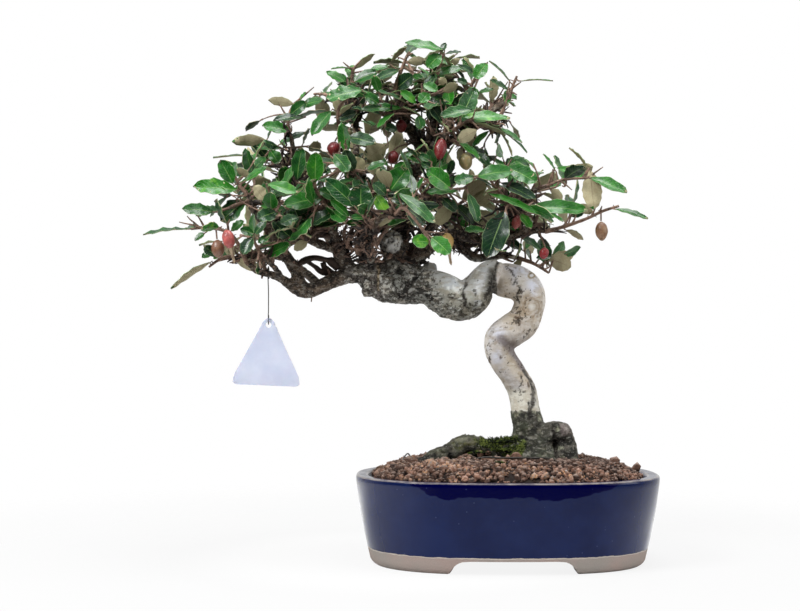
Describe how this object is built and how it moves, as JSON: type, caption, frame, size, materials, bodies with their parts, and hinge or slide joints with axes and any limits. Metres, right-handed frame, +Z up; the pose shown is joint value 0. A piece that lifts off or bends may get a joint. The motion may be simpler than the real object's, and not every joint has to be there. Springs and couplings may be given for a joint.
{
  "type": "bonsai tree in pot",
  "caption": "Thorny olive bonsai with an S-curved trunk and leafy crown, in an oval blue glazed pot with feet, soil and a hanging blank tag.",
  "frame": {"origin": "middle of the whole part's footprint box, on the ground under the pot's feet", "axes": "+Z up, +X to the right of the tree's front, along the pot's length, +Y away from the front"},
  "size_m": [0.3126, 0.1618, 0.327],
  "materials": {
    "glaze": "deep blue gloss glaze, bare grey-beige clay at the feet",
    "soil": "loose baked clay and lava grains, matt",
    "bark": "pale grey bark, cracked and spotted, darker on roots and old limbs",
    "leaf": "leathery leaves, glossy green above, matt tan below",
    "berry": "satin skin with fine pale specks",
    "screen": "black drain screen",
    "wire": "dark brown annealed wire",
    "tag": "translucent white sheet, unprinted",
    "tag_wire": "thin bare wire"
  },
  "bodies": {
    "root": {"pot": "glaze", "soil": "soil", "wood": "bark", "drain_screen_left": "screen", "drain_screen_right": "screen", "anchor_wire": "wire", "wire_pin": "wire", "tag": "tag", "tag_wire": "tag_wire", "spray_west_low": "leaf", "spray_west_tip": "leaf", "spray_west_upper": "leaf", "spray_west_crown": "leaf", "spray_left_back": "leaf", "spray_left_top": "leaf", "spray_mid_rise": "leaf", "spray_mid_top": "leaf", "spray_centre_left": "leaf", "spray_centre": "leaf", "spray_centre_mid": "leaf", "spray_right_crest": "leaf", "spray_right_top": "leaf", "spray_right_twig": "leaf", "spray_right_fall": "leaf", "spray_east_up": "leaf", "spray_east_rise": "leaf", "spray_east": "leaf", "spray_east_low": "leaf", "spray_right_mid": "leaf", "spray_right_lift": "leaf", "spray_front": "leaf", "spray_mid_side": "leaf", "spray_mid_front": "leaf", "spray_rise_left": "leaf", "spray_mid_left": "leaf", "spray_left_front": "leaf", "spray_west_mid": "leaf", "spray_west_front": "leaf", "spray_centre_fork": "leaf", "spray_back_left": "leaf", "spray_back_low": "leaf", "spray_back_mid": "leaf", "spray_back_top": "leaf", "spray_back_crest": "leaf", "spray_back_right": "leaf", "spray_back_centre": "leaf", "spray_back_peak": "leaf", "berry_pink": "berry", "berry_brown": "berry", "berry_crimson": "berry", "berry_scarlet": "berry", "berry_garnet": "berry", "berry_ruby": "berry", "berry_olive": "berry", "berry_amber": "berry", "berry_tan": "berry", "berry_rose": "berry", "berry_rust": "berry"}
  },
  "joints": []
}
